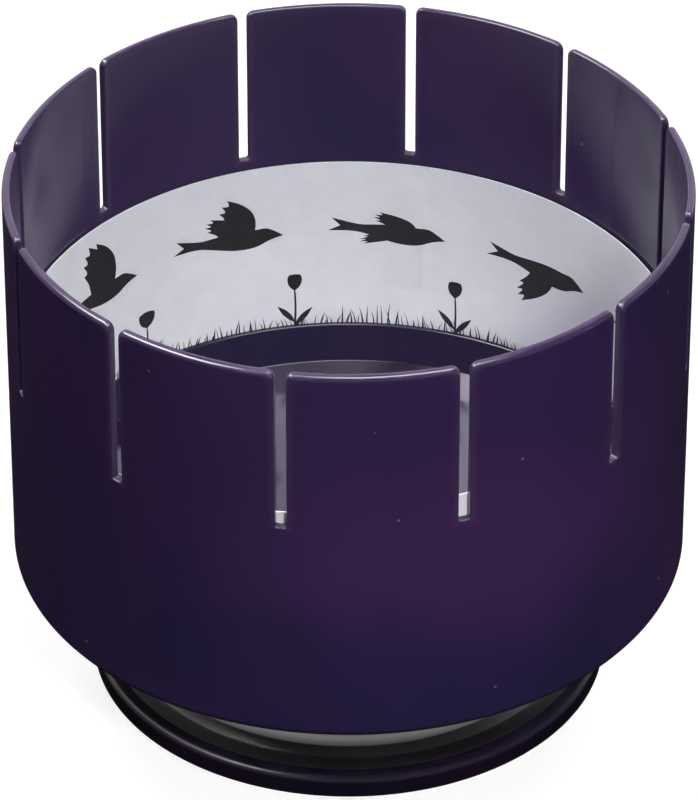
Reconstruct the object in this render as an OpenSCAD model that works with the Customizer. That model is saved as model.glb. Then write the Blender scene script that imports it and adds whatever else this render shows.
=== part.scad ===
// A zoetrope: a slotted drum that is spun by hand on a weighted foot, with a loose strip of
// pictures standing inside it. The z axis is the spin axis, and z = 0 is the plane on which the
// four rubber feet stand. The front, where the viewer sits, is the -y side.

/* [Drum] */
// Outside diameter of the drum
drum_d = 180; // [150:1:240]
// Height of the drum, from its underside to the rim
drum_h = 116; // [105:1:160]
// Thickness of the drum wall
wall_t = 2.3; // [2:0.1:3]
// Thickness of the drum floor
floor_t = 2.3; // [2:0.1:4]
// Rounding of the rim's outer edge
rim_outer_r = 1.2; // [0.4:0.1:1.2]
// Rounding of the rim's inner edge
rim_inner_r = 0.8; // [0.3:0.1:0.8]
// How far the sloped bottom corner rises up the wall
corner_rise = 4; // [2:0.1:5]
// How far the sloped bottom corner runs in under the drum
corner_run = 6.6; // [4:0.1:10]

/* [Slots] */
// Number of viewing slots
slot_count = 12; // [8:1:16]
// Width of a viewing slot
slot_w = 3; // [2:0.1:5]
// Depth of a slot below the rim
slot_depth = 47; // [30:1:48]
// Angle from the front to the first slot, in degrees
slot_turn = -11; // [-15:0.5:15]
// Rounding of the wall's corners at the top of a slot
panel_corner_r = 1.4; // [0.5:0.1:3]
// Rounding of the two corners at the foot of a slot
slot_foot_r = 0.6; // [0.2:0.1:0.9]

/* [Strip groove] */
// Width of the groove that the picture strip stands in
groove_w = 1.6; // [1.5:0.1:2.5]
// Height of the groove's floor above the drum's underside
groove_floor = 5.5; // [5:0.1:7]
// Thickness of the low ring that keeps the strip against the wall
ring_t = 1.2; // [1:0.1:2]
// Height of the low ring above the drum floor
ring_h = 11.2; // [8:0.1:15]
// How much further in the ring's foot stands than its top
ring_draft = 1.4; // [0.5:0.1:2]

/* [Picture strip] */
// Height of the paper strip
strip_h = 60.4; // [50:0.1:61]
// Thickness of the paper strip
strip_t = 0.35; // [0.2:0.01:0.4]
// Angle over which the strip's ends overlap, in degrees
strip_lap = 20; // [10:1:40]
// Angle from the front to the strip's outer end, in degrees
strip_end = 25; // [0:1:60]
// Step inwards from the outer end to the layer that it covers
lap_step = 0.5; // [0.45:0.01:0.5]
// How far the loose outer end has ridden up
end_lift = 9.7; // [0:0.1:12]
// Angle over which the strip climbs to its outer end, in degrees
lift_span = 91; // [60:1:120]

/* [Hub and bushes] */
// Outside diameter of the hub's tube
hub_d = 18; // [16:0.5:24]
// Diameter of the hub's flange
hub_flange_d = 48; // [44:1:54]
// Thickness of the hub's flange
hub_flange_t = 3; // [2:0.1:4]
// Length of the hub's tube below its flange
hub_below = 10.3; // [8:0.1:14]
// How far the hub's tube stands above the drum floor
hub_above = 1.2; // [0.6:0.1:2]
// Height of the screw posts under the drum floor
hub_post_h = 4; // [3:0.1:6]
// Diameter of those posts
hub_post_d = 7; // [6:0.1:9]
// Diameter of the circle on which the hub's screws stand
hub_screw_pcd = 36; // [32:0.5:38]
// Number of hub screws
hub_screw_count = 4; // [3:1:6]
// Length of a hub screw under its head
hub_screw_len = 7.6; // [6:0.1:8]
// Outside diameter of a bush
bush_d = 10; // [9:0.1:12]
// Length of a bush without its flange
bush_len = 8; // [5:0.1:8.5]
// Diameter of a bush's flange
bush_flange_d = 13; // [12:0.1:15]
// Thickness of a bush's flange
bush_flange_t = 1; // [0.6:0.1:1.5]

/* [Spindle] */
// Diameter of the spindle
spindle_d = 6; // [5:0.1:7]
// Length of the spindle above its retaining clip
spindle_tip = 1.4; // [1:0.1:2]
// Bevel on the spindle's tip
spindle_bevel = 0.6; // [0.2:0.1:1]
// Diameter of the spindle's collar
collar_d = 16; // [14:0.5:20]
// Thickness of the collar
collar_t = 2; // [1:0.1:3]
// Diameter of the threaded stud below the collar
stud_d = 5; // [4:0.1:5.5]
// Length of stud left bare below its nut
stud_tip = 0.4; // [0.2:0.1:1]
// Thickness of the slippery washer on the collar
thrust_t = 1; // [0.6:0.1:2]
// Diameter of the slippery washer
thrust_d = 14; // [12:0.5:16]
// Thickness of the washer below the retaining clip
clip_washer_t = 0.6; // [0.4:0.1:1]
// Diameter of that washer
clip_washer_d = 12; // [10:0.5:13]
// Thickness of the retaining clip
clip_t = 0.8; // [0.5:0.1:1.2]
// Diameter of the retaining clip
clip_d = 11; // [9:0.5:12]
// Diameter at the bottom of the clip's groove
clip_groove_d = 4.6; // [4:0.1:4.6]
// Width of the clip's mouth
clip_mouth = 4; // [3:0.1:4.2]
// Thickness of the stud's washer
stud_washer_t = 0.9; // [0.6:0.1:1.2]
// Diameter of the stud's washer
stud_washer_d = 10; // [9.5:0.5:13]
// Thickness of the stud's nut
nut_t = 3.4; // [2.5:0.1:3.6]
// Width of the nut across its flats
nut_flats = 8; // [7.5:0.1:10]

/* [Hub cap] */
// Diameter of the cap on the drum floor
cap_d = 28; // [26:0.5:34]
// Height of the cap at its crown
cap_h = 9.5; // [8.5:0.1:12]
// Radius of the cap's dome
cap_dome_r = 28; // [26:1:50]
// Thickness of the cap's crown
cap_t = 1.6; // [1:0.1:2]
// Radial room round the spindle's tip and clip inside the cap
cap_room = 1.5; // [1:0.1:3]

/* [Foot] */
// Diameter of the foot's flange at its lip
flange_d = 140; // [136:1:170]
// How much smaller the flange is at its lower edge, on the radius
flange_taper = 0.65; // [0:0.05:1.5]
// Height of the flange's edge
flange_edge_h = 6.7; // [6.5:0.1:9]
// Rounding of the flange's lip
lip_r = 1.3; // [0.5:0.1:2]
// Diameter of the foot's neck
neck_d = 116; // [112:1:118]
// Radius of the hollow curve from the flange to the neck
flare_r = 8; // [5:0.1:9]
// Rounding of the neck's top edge
deck_edge_r = 2; // [0.5:0.1:2.4]
// Height of the foot's body, from the flange's lower edge to its deck
foot_h = 31.2; // [30:0.1:40]
// Wall thickness of the foot
foot_t = 2.5; // [2:0.1:3]
// Diameter of the well that the hub turns in
well_d = 56; // [56:1:62]
// Gap between the foot's deck and the drum
drum_gap = 1.5; // [1:0.1:4]

/* [Bottom cover and feet] */
// Thickness of the bottom cover
cover_t = 2.5; // [2.2:0.1:3]
// Diameter of a rubber foot
rubber_d = 12; // [8:0.5:14]
// Thickness of a rubber foot
rubber_t = 2; // [1.6:0.1:2.4]
// How far a rubber foot stands proud of the cover
rubber_proud = 0.8; // [0.5:0.1:1.2]
// Diameter of the circle on which the rubber feet stand
rubber_pcd = 118; // [100:1:120]
// Diameter of the circle on which the cover's screws stand
cover_screw_pcd = 122; // [118:0.5:124]
// Number of cover screws
cover_screw_count = 4; // [4:4:8]
// Length of a cover screw under its head
cover_screw_len = 5; // [4:0.1:5.4]
// Diameter of the posts for the cover's screws
cover_post_d = 8; // [7:0.1:9]

/* [Ballast] */
// Outside diameter of the ballast ring
ballast_od = 104; // [98:1:108]
// Inside diameter of the ballast ring
ballast_id = 72; // [66:1:76]
// Height of the ballast ring
ballast_h = 8; // [4:0.1:12]
// Gap between the ballast ring and the bottom cover
ballast_gap = 2.2; // [2:0.1:4]
// Number of ballast screws
ballast_screw_count = 3; // [3:1:6]
// Diameter of the circle on which the ballast screws stand
ballast_screw_pcd = 88; // [82:0.5:90]
// Length of a ballast screw under its head
ballast_screw_len = 16; // [14:0.5:20]
// Diameter of the posts for the ballast screws
ballast_post_d = 9; // [8:0.1:10]

/* [Screws and fits] */
// Shank diameter of every screw
screw_d = 3; // [2.5:0.1:3.2]
// Head diameter of every screw
screw_head_d = 5.4; // [4.8:0.1:5.6]
// Head height of every screw
screw_head_h = 1.4; // [1:0.1:1.6]
// Width of the cross cut in a screw's head
cross_w = 0.9; // [0.5:0.1:1]
// Depth of the cross cut
cross_depth = 0.8; // [0.4:0.1:0.9]
// Radial clearance of a turning fit
run_clear = 0.04; // [0.02:0.01:0.08]
// Radial clearance of a fit that is pushed together by hand
push_clear = 0.05; // [0.02:0.01:0.1]
// Radial clearance round a screw or stud that passes through
pass_clear = 0.2; // [0.1:0.05:0.3]
// Gap between the strip and what it stands in
strip_clear = 0.3; // [0.2:0.05:0.35]
// End play of the drum on its spindle
end_play = 0.2; // [0.1:0.05:0.4]
// Gap round a cover or a rubber foot in its recess
seat_clear = 0.2; // [0.1:0.05:0.4]

/* [Hidden] */
$fn = 96;

// a cut runs this far past the face that it opens
over = 1;
// a pilot hole runs this far past its screw's tip
tip_room = 0.4;
// number of rubber feet
rubber_count = 4;
// angle from +x to the front of the drum
front = -90;
// angle of one step along the strip, at most
strip_step = 4;
// angle along the strip at each end that keeps one radius
lap_flat = 40;

// heights, from the table up
cover_z = rubber_proud;
cover_top = cover_z + cover_t;
deck_z = cover_z + foot_h;
drum_z = deck_z + drum_gap;
floor_z = drum_z + floor_t;
rim_z = drum_z + drum_h;
ring_z = floor_z + ring_h;
lip_z = cover_z + flange_edge_h;
hub_flange_z = drum_z - hub_post_h - hub_flange_t;
hub_z = hub_flange_z - hub_below;
hub_top = floor_z + hub_above;
collar_z = hub_z - bush_flange_t - end_play - thrust_t - collar_t;
clip_washer_z = hub_top + bush_flange_t + end_play / 2;
clip_z = clip_washer_z + clip_washer_t + end_play / 2;
spindle_top = clip_z + clip_t + spindle_tip;
stud_washer_z = collar_z - foot_t - stud_washer_t;
nut_z = stud_washer_z - nut_t;
ballast_z = cover_top + ballast_gap;
strip_z = drum_z + groove_floor + strip_clear;

// radii
drum_r = drum_d / 2;
wall_in_r = drum_r - wall_t;
ring_out_r = wall_in_r - groove_w;
ring_in_r = ring_out_r - ring_t;
hub_r = hub_d / 2;
neck_r = neck_d / 2;
well_r = well_d / 2;
flange_r = flange_d / 2;
flange_foot_r = flange_r - flange_taper;
cover_r = flange_foot_r - foot_t - seat_clear;
strip_out_r = wall_in_r - strip_clear;

purple = "#2a1840";
black_purple = "#15101c";
dark_grey = "#2b2b2e";
paper_white = "#d6d9e0";
steel = "#b9bcc0";
bronze = "#b08a4a";
nylon = "#e6e3d8";
rubber_black = "#1c1c1c";

// ---- shapes that more than one piece uses ----

module around(count, diameter, turn = 0) {
    for (i = [0 : count - 1])
        rotate(turn + 360 * i / count) translate([diameter / 2, 0, 0]) children();
}

module tube(outer_r, inner_r, height) {
    difference() {
        cylinder(r = outer_r, h = height);
        translate([0, 0, -over]) cylinder(r = inner_r, h = height + 2 * over);
    }
}

// a screw that points up, with its head's upper face at z = 0
module screw(length) {
    cylinder(d = screw_d, h = length);
    difference() {
        translate([0, 0, -screw_head_h]) cylinder(d = screw_head_d, h = screw_head_h);
        for (a = [0, 90])
            rotate(a) translate([-screw_head_d / 3, -cross_w / 2, -screw_head_h - over])
                cube([screw_head_d / 1.5, cross_w, cross_depth + over]);
    }
}

// the hole that a screw cuts its thread in, from z = 0 up
module pilot_hole(depth) {
    translate([0, 0, -over]) cylinder(r = screw_d / 2 + run_clear, h = depth + over);
}

module pass_hole(diameter, depth) {
    translate([0, 0, -over]) cylinder(r = diameter / 2 + pass_clear, h = depth + 2 * over);
}

// a flanged bush whose flange lies on z = 0 and whose body points up
module bush() {
    difference() {
        union() {
            translate([0, 0, -bush_flange_t]) cylinder(d = bush_flange_d, h = bush_flange_t);
            cylinder(r = bush_d / 2 - push_clear, h = bush_len);
        }
        translate([0, 0, -bush_flange_t - over])
            cylinder(r = spindle_d / 2 + run_clear, h = bush_len + bush_flange_t + 2 * over);
    }
}

// ---- the drum and what turns with it ----

module wall_section() {
    translate([wall_in_r, drum_z + corner_rise]) {
        wall_h = drum_h - corner_rise;
        square([wall_t, wall_h - rim_outer_r]);
        square([wall_t - rim_outer_r, wall_h - rim_inner_r]);
        translate([rim_inner_r, 0]) square([wall_t - rim_inner_r - rim_outer_r, wall_h]);
        translate([rim_inner_r, wall_h - rim_inner_r]) circle(r = rim_inner_r);
        translate([wall_t - rim_outer_r, wall_h - rim_outer_r]) circle(r = rim_outer_r);
    }
}

module floor_section() {
    bore = hub_r + push_clear;
    groove_z = drum_z + groove_floor;
    round_z = ring_z - ring_t / 2;
    polygon([[bore, drum_z], [drum_r - corner_run, drum_z], [drum_r, drum_z + corner_rise],
             [drum_r, groove_z + over], [wall_in_r, groove_z + over], [wall_in_r, groove_z],
             [ring_out_r, groove_z], [ring_out_r, round_z], [ring_in_r, round_z],
             [ring_in_r - ring_draft, floor_z], [bore, floor_z]]);
    translate([ring_out_r - ring_t / 2, round_z]) circle(d = ring_t);
}

module slot_outline() {
    foot_z = rim_z - slot_depth;
    half = slot_w / 2;
    translate([-half, foot_z + slot_foot_r]) square([slot_w, slot_depth + over]);
    translate([slot_foot_r - half, foot_z]) square([slot_w - 2 * slot_foot_r, slot_depth]);
    for (side = [0, 1]) mirror([side, 0]) {
        translate([half - slot_foot_r, foot_z + slot_foot_r]) circle(r = slot_foot_r);
        difference() {
            translate([0, rim_z - panel_corner_r])
                square([half + panel_corner_r, panel_corner_r + over]);
            translate([half + panel_corner_r, rim_z - panel_corner_r]) circle(r = panel_corner_r);
        }
    }
}

module drum() {
    color(purple)
    difference() {
        union() {
            rotate_extrude() {
                wall_section();
                floor_section();
            }
            around(hub_screw_count, hub_screw_pcd)
                translate([0, 0, drum_z - hub_post_h]) cylinder(d = hub_post_d, h = hub_post_h + over);
        }
        for (i = [0 : slot_count - 1])
            rotate(slot_turn + 360 * i / slot_count)
                translate([0, -wall_in_r + wall_t, 0]) rotate([90, 0, 0])
                    linear_extrude(3 * wall_t) slot_outline();
        around(hub_screw_count, hub_screw_pcd)
            translate([0, 0, drum_z - hub_post_h]) pilot_hole(hub_screw_len - hub_flange_t + tip_room);
    }
}

// the paper's way round the drum, from its outer end, by the angle s along it
function strip_radius(s) =
    strip_out_r - lap_step * min(1, max(0, (s - lap_flat) / (360 - 2 * lap_flat)));
function strip_rise(s) = end_lift * max(0, 1 - s / lift_span);
function strip_ring(s) =
    let (a = front + strip_end - s, r = strip_radius(s), z = strip_z + strip_rise(s))
    [for (p = [[r - strip_t, z], [r, z], [r, z + strip_h], [r - strip_t, z + strip_h]])
        [p[0] * cos(a), p[0] * sin(a), p[1]]];

module picture_strip() {
    whole = 360 + strip_lap;
    count = ceil(whole / strip_step);
    points = [for (i = [0 : count]) each strip_ring(whole * i / count)];
    sides = [for (i = [0 : count - 1], k = [0 : 3])
        [4 * i + k, 4 * i + (k + 1) % 4, 4 * i + 4 + (k + 1) % 4, 4 * i + 4 + k]];
    ends = [[3, 2, 1, 0], [4 * count, 4 * count + 1, 4 * count + 2, 4 * count + 3]];
    color(paper_white) polyhedron(points = points, faces = concat(sides, ends));
}

module hub() {
    color(dark_grey)
    difference() {
        union() {
            translate([0, 0, hub_z]) cylinder(r = hub_r, h = hub_top - hub_z);
            translate([0, 0, hub_flange_z]) cylinder(d = hub_flange_d, h = hub_flange_t);
        }
        translate([0, 0, hub_z - over]) cylinder(d = bush_d, h = hub_top - hub_z + 2 * over);
        around(hub_screw_count, hub_screw_pcd)
            translate([0, 0, hub_flange_z]) pass_hole(screw_d, hub_flange_t);
    }
}

module hub_screws() {
    color(steel)
        around(hub_screw_count, hub_screw_pcd) translate([0, 0, hub_flange_z]) screw(hub_screw_len);
}

module upper_bush() {
    color(bronze) translate([0, 0, hub_top]) mirror([0, 0, 1]) bush();
}

module lower_bush() {
    color(bronze) translate([0, 0, hub_z]) bush();
}

module hub_cap() {
    socket_h = hub_above + push_clear;
    room_r = max(bush_flange_d, clip_d) / 2 + cap_room;
    color(black_purple) translate([0, 0, floor_z])
        rotate_extrude() difference() {
            intersection() {
                square([cap_d / 2, cap_h]);
                translate([0, cap_h - cap_dome_r]) circle(r = cap_dome_r, $fn = 180);
            }
            translate([-over, -over]) square([hub_r + push_clear + over, socket_h + over]);
            square([min(room_r, hub_r), cap_h - cap_t]);
        }
}

// ---- the spindle and what stands still on it ----

module spindle() {
    color(steel)
    difference() {
        rotate_extrude()
            polygon([[0, nut_z - stud_tip], [stud_d / 2, nut_z - stud_tip], [stud_d / 2, collar_z],
                     [collar_d / 2, collar_z], [collar_d / 2, collar_z + collar_t],
                     [spindle_d / 2, collar_z + collar_t], [spindle_d / 2, spindle_top - spindle_bevel],
                     [spindle_d / 2 - spindle_bevel, spindle_top], [0, spindle_top]]);
        translate([0, 0, clip_z - push_clear])
            tube(spindle_d / 2 + over, clip_groove_d / 2, clip_t + 2 * push_clear);
    }
}

module thrust_washer() {
    color(nylon) translate([0, 0, collar_z + collar_t])
        tube(thrust_d / 2, spindle_d / 2 + run_clear, thrust_t);
}

module clip_washer() {
    color(steel) translate([0, 0, clip_washer_z])
        tube(clip_washer_d / 2, spindle_d / 2 + run_clear, clip_washer_t);
}

module retaining_clip() {
    color(steel) translate([0, 0, clip_z])
    difference() {
        tube(clip_d / 2, clip_groove_d / 2 + push_clear, clip_t);
        translate([-clip_mouth / 2, 0, -over]) cube([clip_mouth, clip_d, clip_t + 2 * over]);
    }
}

module spindle_washer() {
    color(steel) translate([0, 0, stud_washer_z])
        tube(stud_washer_d / 2, stud_d / 2 + pass_clear, stud_washer_t);
}

module spindle_nut() {
    color(steel) translate([0, 0, nut_z])
    difference() {
        cylinder(r = nut_flats / 2 / cos(30), h = nut_t, $fn = 6);
        translate([0, 0, -over]) cylinder(r = stud_d / 2 + run_clear, h = nut_t + 2 * over);
    }
}

// ---- the foot ----

module foot_outline() {
    polygon([[0, cover_z], [flange_foot_r, cover_z], [flange_r, lip_z - lip_r],
             [flange_r - lip_r, lip_z - lip_r], [flange_r - lip_r, lip_z], [0, lip_z]]);
    translate([flange_r - lip_r, lip_z - lip_r]) circle(r = lip_r);
    square([neck_r, deck_z - deck_edge_r]);
    square([neck_r - deck_edge_r, deck_z]);
    translate([neck_r - deck_edge_r, deck_z - deck_edge_r]) circle(r = deck_edge_r);
    difference() {
        translate([neck_r - over, lip_z - over]) square(flare_r + over);
        translate([neck_r + flare_r, lip_z + flare_r]) circle(r = flare_r);
    }
}

module foot_hollow() {
    under_flange = lip_z - foot_t;
    translate([-over, -over]) square([flange_foot_r - foot_t + over, under_flange + over]);
    difference() {
        square([neck_r - foot_t, deck_z - foot_t]);
        translate([0, collar_z - foot_t]) square([well_r + foot_t, deck_z]);
    }
    translate([0, collar_z]) square([well_r, deck_z]);
}

module foot_body() {
    post_z = ballast_z + ballast_h;
    flange_under = lip_z - foot_t;
    color(black_purple)
    difference() {
        union() {
            rotate_extrude() difference() {
                foot_outline();
                foot_hollow();
            }
            around(ballast_screw_count, ballast_screw_pcd, front)
                translate([0, 0, post_z]) cylinder(d = ballast_post_d, h = deck_z - foot_t / 2 - post_z);
            around(cover_screw_count, cover_screw_pcd)
                translate([0, 0, cover_top])
                    cylinder(d = cover_post_d, h = flange_under - cover_top + foot_t / 2);
        }
        translate([0, 0, collar_z - foot_t]) pass_hole(stud_d, foot_t);
        around(ballast_screw_count, ballast_screw_pcd, front)
            translate([0, 0, post_z]) pilot_hole(ballast_screw_len - ballast_h + tip_room);
        around(cover_screw_count, cover_screw_pcd)
            translate([0, 0, cover_top])
                pilot_hole(cover_screw_len - cover_t + screw_head_h + tip_room);
    }
}

module bottom_cover() {
    color(dark_grey)
    difference() {
        translate([0, 0, cover_z]) cylinder(r = cover_r, h = cover_t);
        around(cover_screw_count, cover_screw_pcd) {
            translate([0, 0, cover_z]) pass_hole(screw_d, cover_t);
            translate([0, 0, cover_z - over])
                cylinder(r = screw_head_d / 2 + seat_clear, h = screw_head_h + over);
        }
        around(rubber_count, rubber_pcd, 45)
            translate([0, 0, cover_z - over])
                cylinder(r = rubber_d / 2 + seat_clear, h = rubber_t - rubber_proud + over);
    }
}

module cover_screws() {
    color(steel) around(cover_screw_count, cover_screw_pcd)
        translate([0, 0, cover_z + screw_head_h]) screw(cover_screw_len);
}

module ballast_ring() {
    color(steel)
    difference() {
        translate([0, 0, ballast_z]) tube(ballast_od / 2, ballast_id / 2, ballast_h);
        around(ballast_screw_count, ballast_screw_pcd, front)
            translate([0, 0, ballast_z]) pass_hole(screw_d, ballast_h);
    }
}

module ballast_screws() {
    color(steel) around(ballast_screw_count, ballast_screw_pcd, front)
        translate([0, 0, ballast_z]) screw(ballast_screw_len);
}

module rubber_foot(angle) {
    color(rubber_black) rotate(angle) translate([rubber_pcd / 2, 0, 0]) cylinder(d = rubber_d, h = rubber_t);
}

drum();
picture_strip();
hub();
hub_screws();
upper_bush();
lower_bush();
hub_cap();
spindle();
thrust_washer();
clip_washer();
retaining_clip();
spindle_washer();
spindle_nut();
foot_body();
bottom_cover();
cover_screws();
ballast_ring();
ballast_screws();
rubber_foot(-45);  // rubber_foot_front_right
rubber_foot(45);  // rubber_foot_back_right
rubber_foot(135);  // rubber_foot_back_left
rubber_foot(-135);  // rubber_foot_front_left
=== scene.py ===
# %% [markdown]
# # A zoetrope
# A zoetrope is a drum with narrow slots in its wall. A strip of pictures stands inside it, and when
# the drum spins, an eye at the slots sees each picture for a moment only, so that they seem to move.
# This one has a glossy, deep purple drum on a black-purple foot. The working parts inside are already
# there, at their true sizes. The cells below make the pieces that are seen, then their finishes, and
# last the light in which they stand.

# %% Load the parts
import math
import random

import bmesh
import bpy
from mathutils import Matrix, Vector


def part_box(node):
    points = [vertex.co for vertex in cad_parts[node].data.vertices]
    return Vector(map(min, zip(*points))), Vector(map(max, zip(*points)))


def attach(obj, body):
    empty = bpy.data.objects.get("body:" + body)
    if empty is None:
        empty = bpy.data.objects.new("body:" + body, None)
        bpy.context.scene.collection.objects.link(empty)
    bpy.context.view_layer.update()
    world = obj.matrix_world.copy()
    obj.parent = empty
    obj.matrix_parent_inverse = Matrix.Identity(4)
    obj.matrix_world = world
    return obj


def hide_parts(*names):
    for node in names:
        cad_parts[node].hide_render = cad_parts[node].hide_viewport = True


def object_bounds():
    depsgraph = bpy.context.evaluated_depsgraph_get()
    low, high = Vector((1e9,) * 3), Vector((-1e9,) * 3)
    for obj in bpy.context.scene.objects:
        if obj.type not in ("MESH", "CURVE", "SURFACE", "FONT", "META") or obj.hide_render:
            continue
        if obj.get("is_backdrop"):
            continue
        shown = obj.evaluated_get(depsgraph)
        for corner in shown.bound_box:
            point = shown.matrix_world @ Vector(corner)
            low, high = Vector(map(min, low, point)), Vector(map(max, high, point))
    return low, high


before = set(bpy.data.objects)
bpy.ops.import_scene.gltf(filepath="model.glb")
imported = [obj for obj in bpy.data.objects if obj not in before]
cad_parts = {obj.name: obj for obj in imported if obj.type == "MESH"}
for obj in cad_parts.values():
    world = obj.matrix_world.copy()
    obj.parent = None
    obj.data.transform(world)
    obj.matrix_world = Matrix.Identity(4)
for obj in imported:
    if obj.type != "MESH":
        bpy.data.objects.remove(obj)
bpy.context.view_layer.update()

# %% [markdown]
# ## The main sizes
# All heights are millimetres above the table and all radii are measured from the spin axis. Blender
# works in metres, so `mm` turns one into the other. Where a part already has the size, it is read
# from that part, so that a new piece can't drift away from what it sits on.

# %% Sizes
def mm(value):
    return value * 0.001

def clamp(value):
    return min(1.0, max(0.0, value))

drum_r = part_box("drum")[1].x * 1000
rim_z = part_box("drum")[1].z * 1000
drum_h, wall_t, floor_t = 116.0, 2.3, 2.3
drum_z = rim_z - drum_h          # the floor's underside
floor_z = drum_z + floor_t       # the floor's upper face
inner_r = drum_r - wall_t
slot_count, slot_w, slot_depth, slot_turn = 12, 3.0, 47.0, -11.0
slot_half = slot_w / 2
slot_z = rim_z - slot_depth      # the slots' foot
cell_angle = 2 * math.pi / slot_count
print("drum radius", drum_r, "rim height", rim_z, "slot foot", slot_z)

# %% [markdown]
# ## The camera
# The photograph looks down at the drum from about 35 degrees, from far enough away that the two sides
# of the wall are almost parallel. A long lens far away gives that look. Its distance and angle were
# found from the outlines of the rim, the wall, the strip and the foot.

# %% Camera
look_down, look_aside = 34.858, -0.0042      # degrees
camera = bpy.data.objects.new("camera", bpy.data.cameras.new("camera"))
bpy.context.scene.collection.objects.link(camera)
camera.location = (0.0, -1.34456, 1.01676)
camera.rotation_euler = (math.radians(90 - look_down), 0.0, math.radians(look_aside))
camera.data.sensor_width = 36.0
camera.data.lens = 277.5
camera.data.clip_start, camera.data.clip_end = 0.05, 20.0
bpy.context.scene.camera = camera
print("camera at", tuple(camera.location), "lens", camera.data.lens)

# %% [markdown]
# ## Helpers for meshes
# Most pieces of a spinning toy are round, so most of them are turned: an outline of a few points is
# spun once round the axis, as on a lathe. The corners of the outline are left sharp, and each ring of
# edges that a corner leaves is rounded afterwards with a bevel, which is how a mould maker would
# state it: this edge, that radius.

# %% Turn and round
def outward(bm):
    """Turns all faces of a closed shell outwards. A negative volume says that it is inside out."""
    bmesh.ops.recalc_face_normals(bm, faces=bm.faces)
    if bm.calc_volume(signed=True) < 0:
        bmesh.ops.reverse_faces(bm, faces=bm.faces)
    return bm

def turned(outline, steps):
    """A closed outline of (radius, height) points, spun round the z axis."""
    bm = bmesh.new()
    verts = [bm.verts.new((mm(r), 0, mm(z))) for r, z in outline]
    edges = [bm.edges.new((a, b)) for a, b in zip(verts, verts[1:] + verts[:1])]
    bmesh.ops.spin(bm, geom=verts + edges, cent=(0, 0, 0), axis=(0, 0, 1), angle=2 * math.pi,
                   steps=steps, use_merge=True)
    bmesh.ops.remove_doubles(bm, verts=bm.verts, dist=1e-7)
    return outward(bm)

def ring_edges(bm, r, z):
    """The edges of the ring at that radius and height."""
    near = 2e-5
    def on_it(v):
        return abs(v.co.xy.length - mm(r)) < near and abs(v.co.z - mm(z)) < near
    return [e for e in bm.edges if on_it(e.verts[0]) and on_it(e.verts[1])]

def round_edges(bm, edges, radius, segments):
    bmesh.ops.bevel(bm, geom=edges, offset=mm(radius), offset_type="OFFSET", segments=segments,
                    profile=0.5, affect="EDGES", material=-1)

def round_ring(bm, r, z, radius, segments):
    edges = ring_edges(bm, r, z)
    round_edges(bm, edges, radius, segments)
    return len(edges)

# %% Cut and pull
def verts_of(geom):
    return [g for g in geom if isinstance(g, bmesh.types.BMVert)]

def cut(bm, at, across, snap=0.0):
    """Cuts a flat shape along a plane. Points closer to the plane than `snap` are cut through."""
    bmesh.ops.bisect_plane(bm, geom=bm.verts[:] + bm.edges[:] + bm.faces[:], dist=snap,
                           plane_co=at, plane_no=across)

def pull(bm, faces, by):
    """Gives flat faces a thickness: a copy is moved, and new faces join it to the first ones."""
    pulled = bmesh.ops.extrude_face_region(bm, geom=faces)["geom"]
    bmesh.ops.translate(bm, vec=by, verts=verts_of(pulled))

# %% Turn a bmesh into a piece
def placed(name, data):
    obj = bpy.data.objects.new(name, data)
    bpy.context.scene.collection.objects.link(obj)
    return obj

def piece(bm, name, body, nodes=(), even_shading=True):
    """Makes the object, lets it move with its body, and hides the plain parts that it replaces."""
    mesh = bpy.data.meshes.new(name)
    bm.to_mesh(mesh)
    bm.free()
    for face in mesh.polygons:
        face.use_smooth = True
    mesh.set_sharp_from_angle(angle=math.radians(38))
    obj = placed(name, mesh)
    if even_shading:
        obj.modifiers.new("even shading", "WEIGHTED_NORMAL").keep_sharp = True
    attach(obj, body)
    if nodes:
        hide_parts(*nodes)
    print(name, "faces", len(mesh.polygons))
    return obj

# %% [markdown]
# ## The drum's wall
# The wall is one moulding with twelve equal slots. Cutting slots out of a tube would leave ragged
# edges, so one twelfth of the wall is made flat instead, with its slot in the middle, and bent round
# the axis afterwards. The ends of the cell are in the middle of a panel, where nothing happens, so
# the twelve copies join without a trace.

# %% Outline of one cell
corner, foot_corner = 2.0, 0.6       # radii of the slot's corners, at the rim and at its foot

def slot_side(sign):
    """The outline beside the slot, from the rim down to its foot, with its two rounded corners."""
    top = [(slot_half + corner - corner * math.sin(a), rim_z - corner + corner * math.cos(a))
           for a in [math.radians(15 * i) for i in range(7)]]
    low = [(slot_half - foot_corner + foot_corner * math.cos(a),
            slot_z + foot_corner - foot_corner * math.sin(a))
           for a in [math.radians(30 * i) for i in range(4)]]
    return [(sign * x, z) for x, z in top + low]

cell_half = drum_r * cell_angle / 2
cell_low = 60.0                      # in the plain wall under the slots
outline = ([(cell_half, rim_z)] + slot_side(1) + slot_side(-1)[::-1]
           + [(-cell_half, rim_z), (-cell_half, cell_low), (cell_half, cell_low)])
print("points of the cell's outline:", len(outline))

# %% [markdown]
# The flat face gets cuts from top to bottom, so that it can follow the curve, and a few level ones
# beside the corners. Then it is pulled to the wall's thickness, and its open ends are taken away.
# A cut that comes close to a point goes through it: two points side by side would leave a rounding
# no room.

# %% Flat cell with its thickness
cell = bmesh.new()
cell.faces.new([cell.verts.new((mm(x), 0, mm(z))) for x, z in outline])
panel_w, panel_cuts, snap = cell_half - slot_half - corner, 7, mm(0.02)
columns = [foot_corner - slot_half, slot_half - foot_corner]
columns += [sign * (slot_half + corner + i * panel_w / panel_cuts)
            for sign in (-1, 1) for i in range(panel_cuts)]
for x in columns:
    cut(cell, (mm(x), 0, 0), (1, 0, 0), snap)
for z in (slot_z - 1.5, slot_z + 1.4, rim_z - 3.2):
    cut(cell, (0, 0, mm(z)), (0, 0, 1), snap)
pull(cell, cell.faces[:], (0, mm(wall_t), 0))

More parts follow.
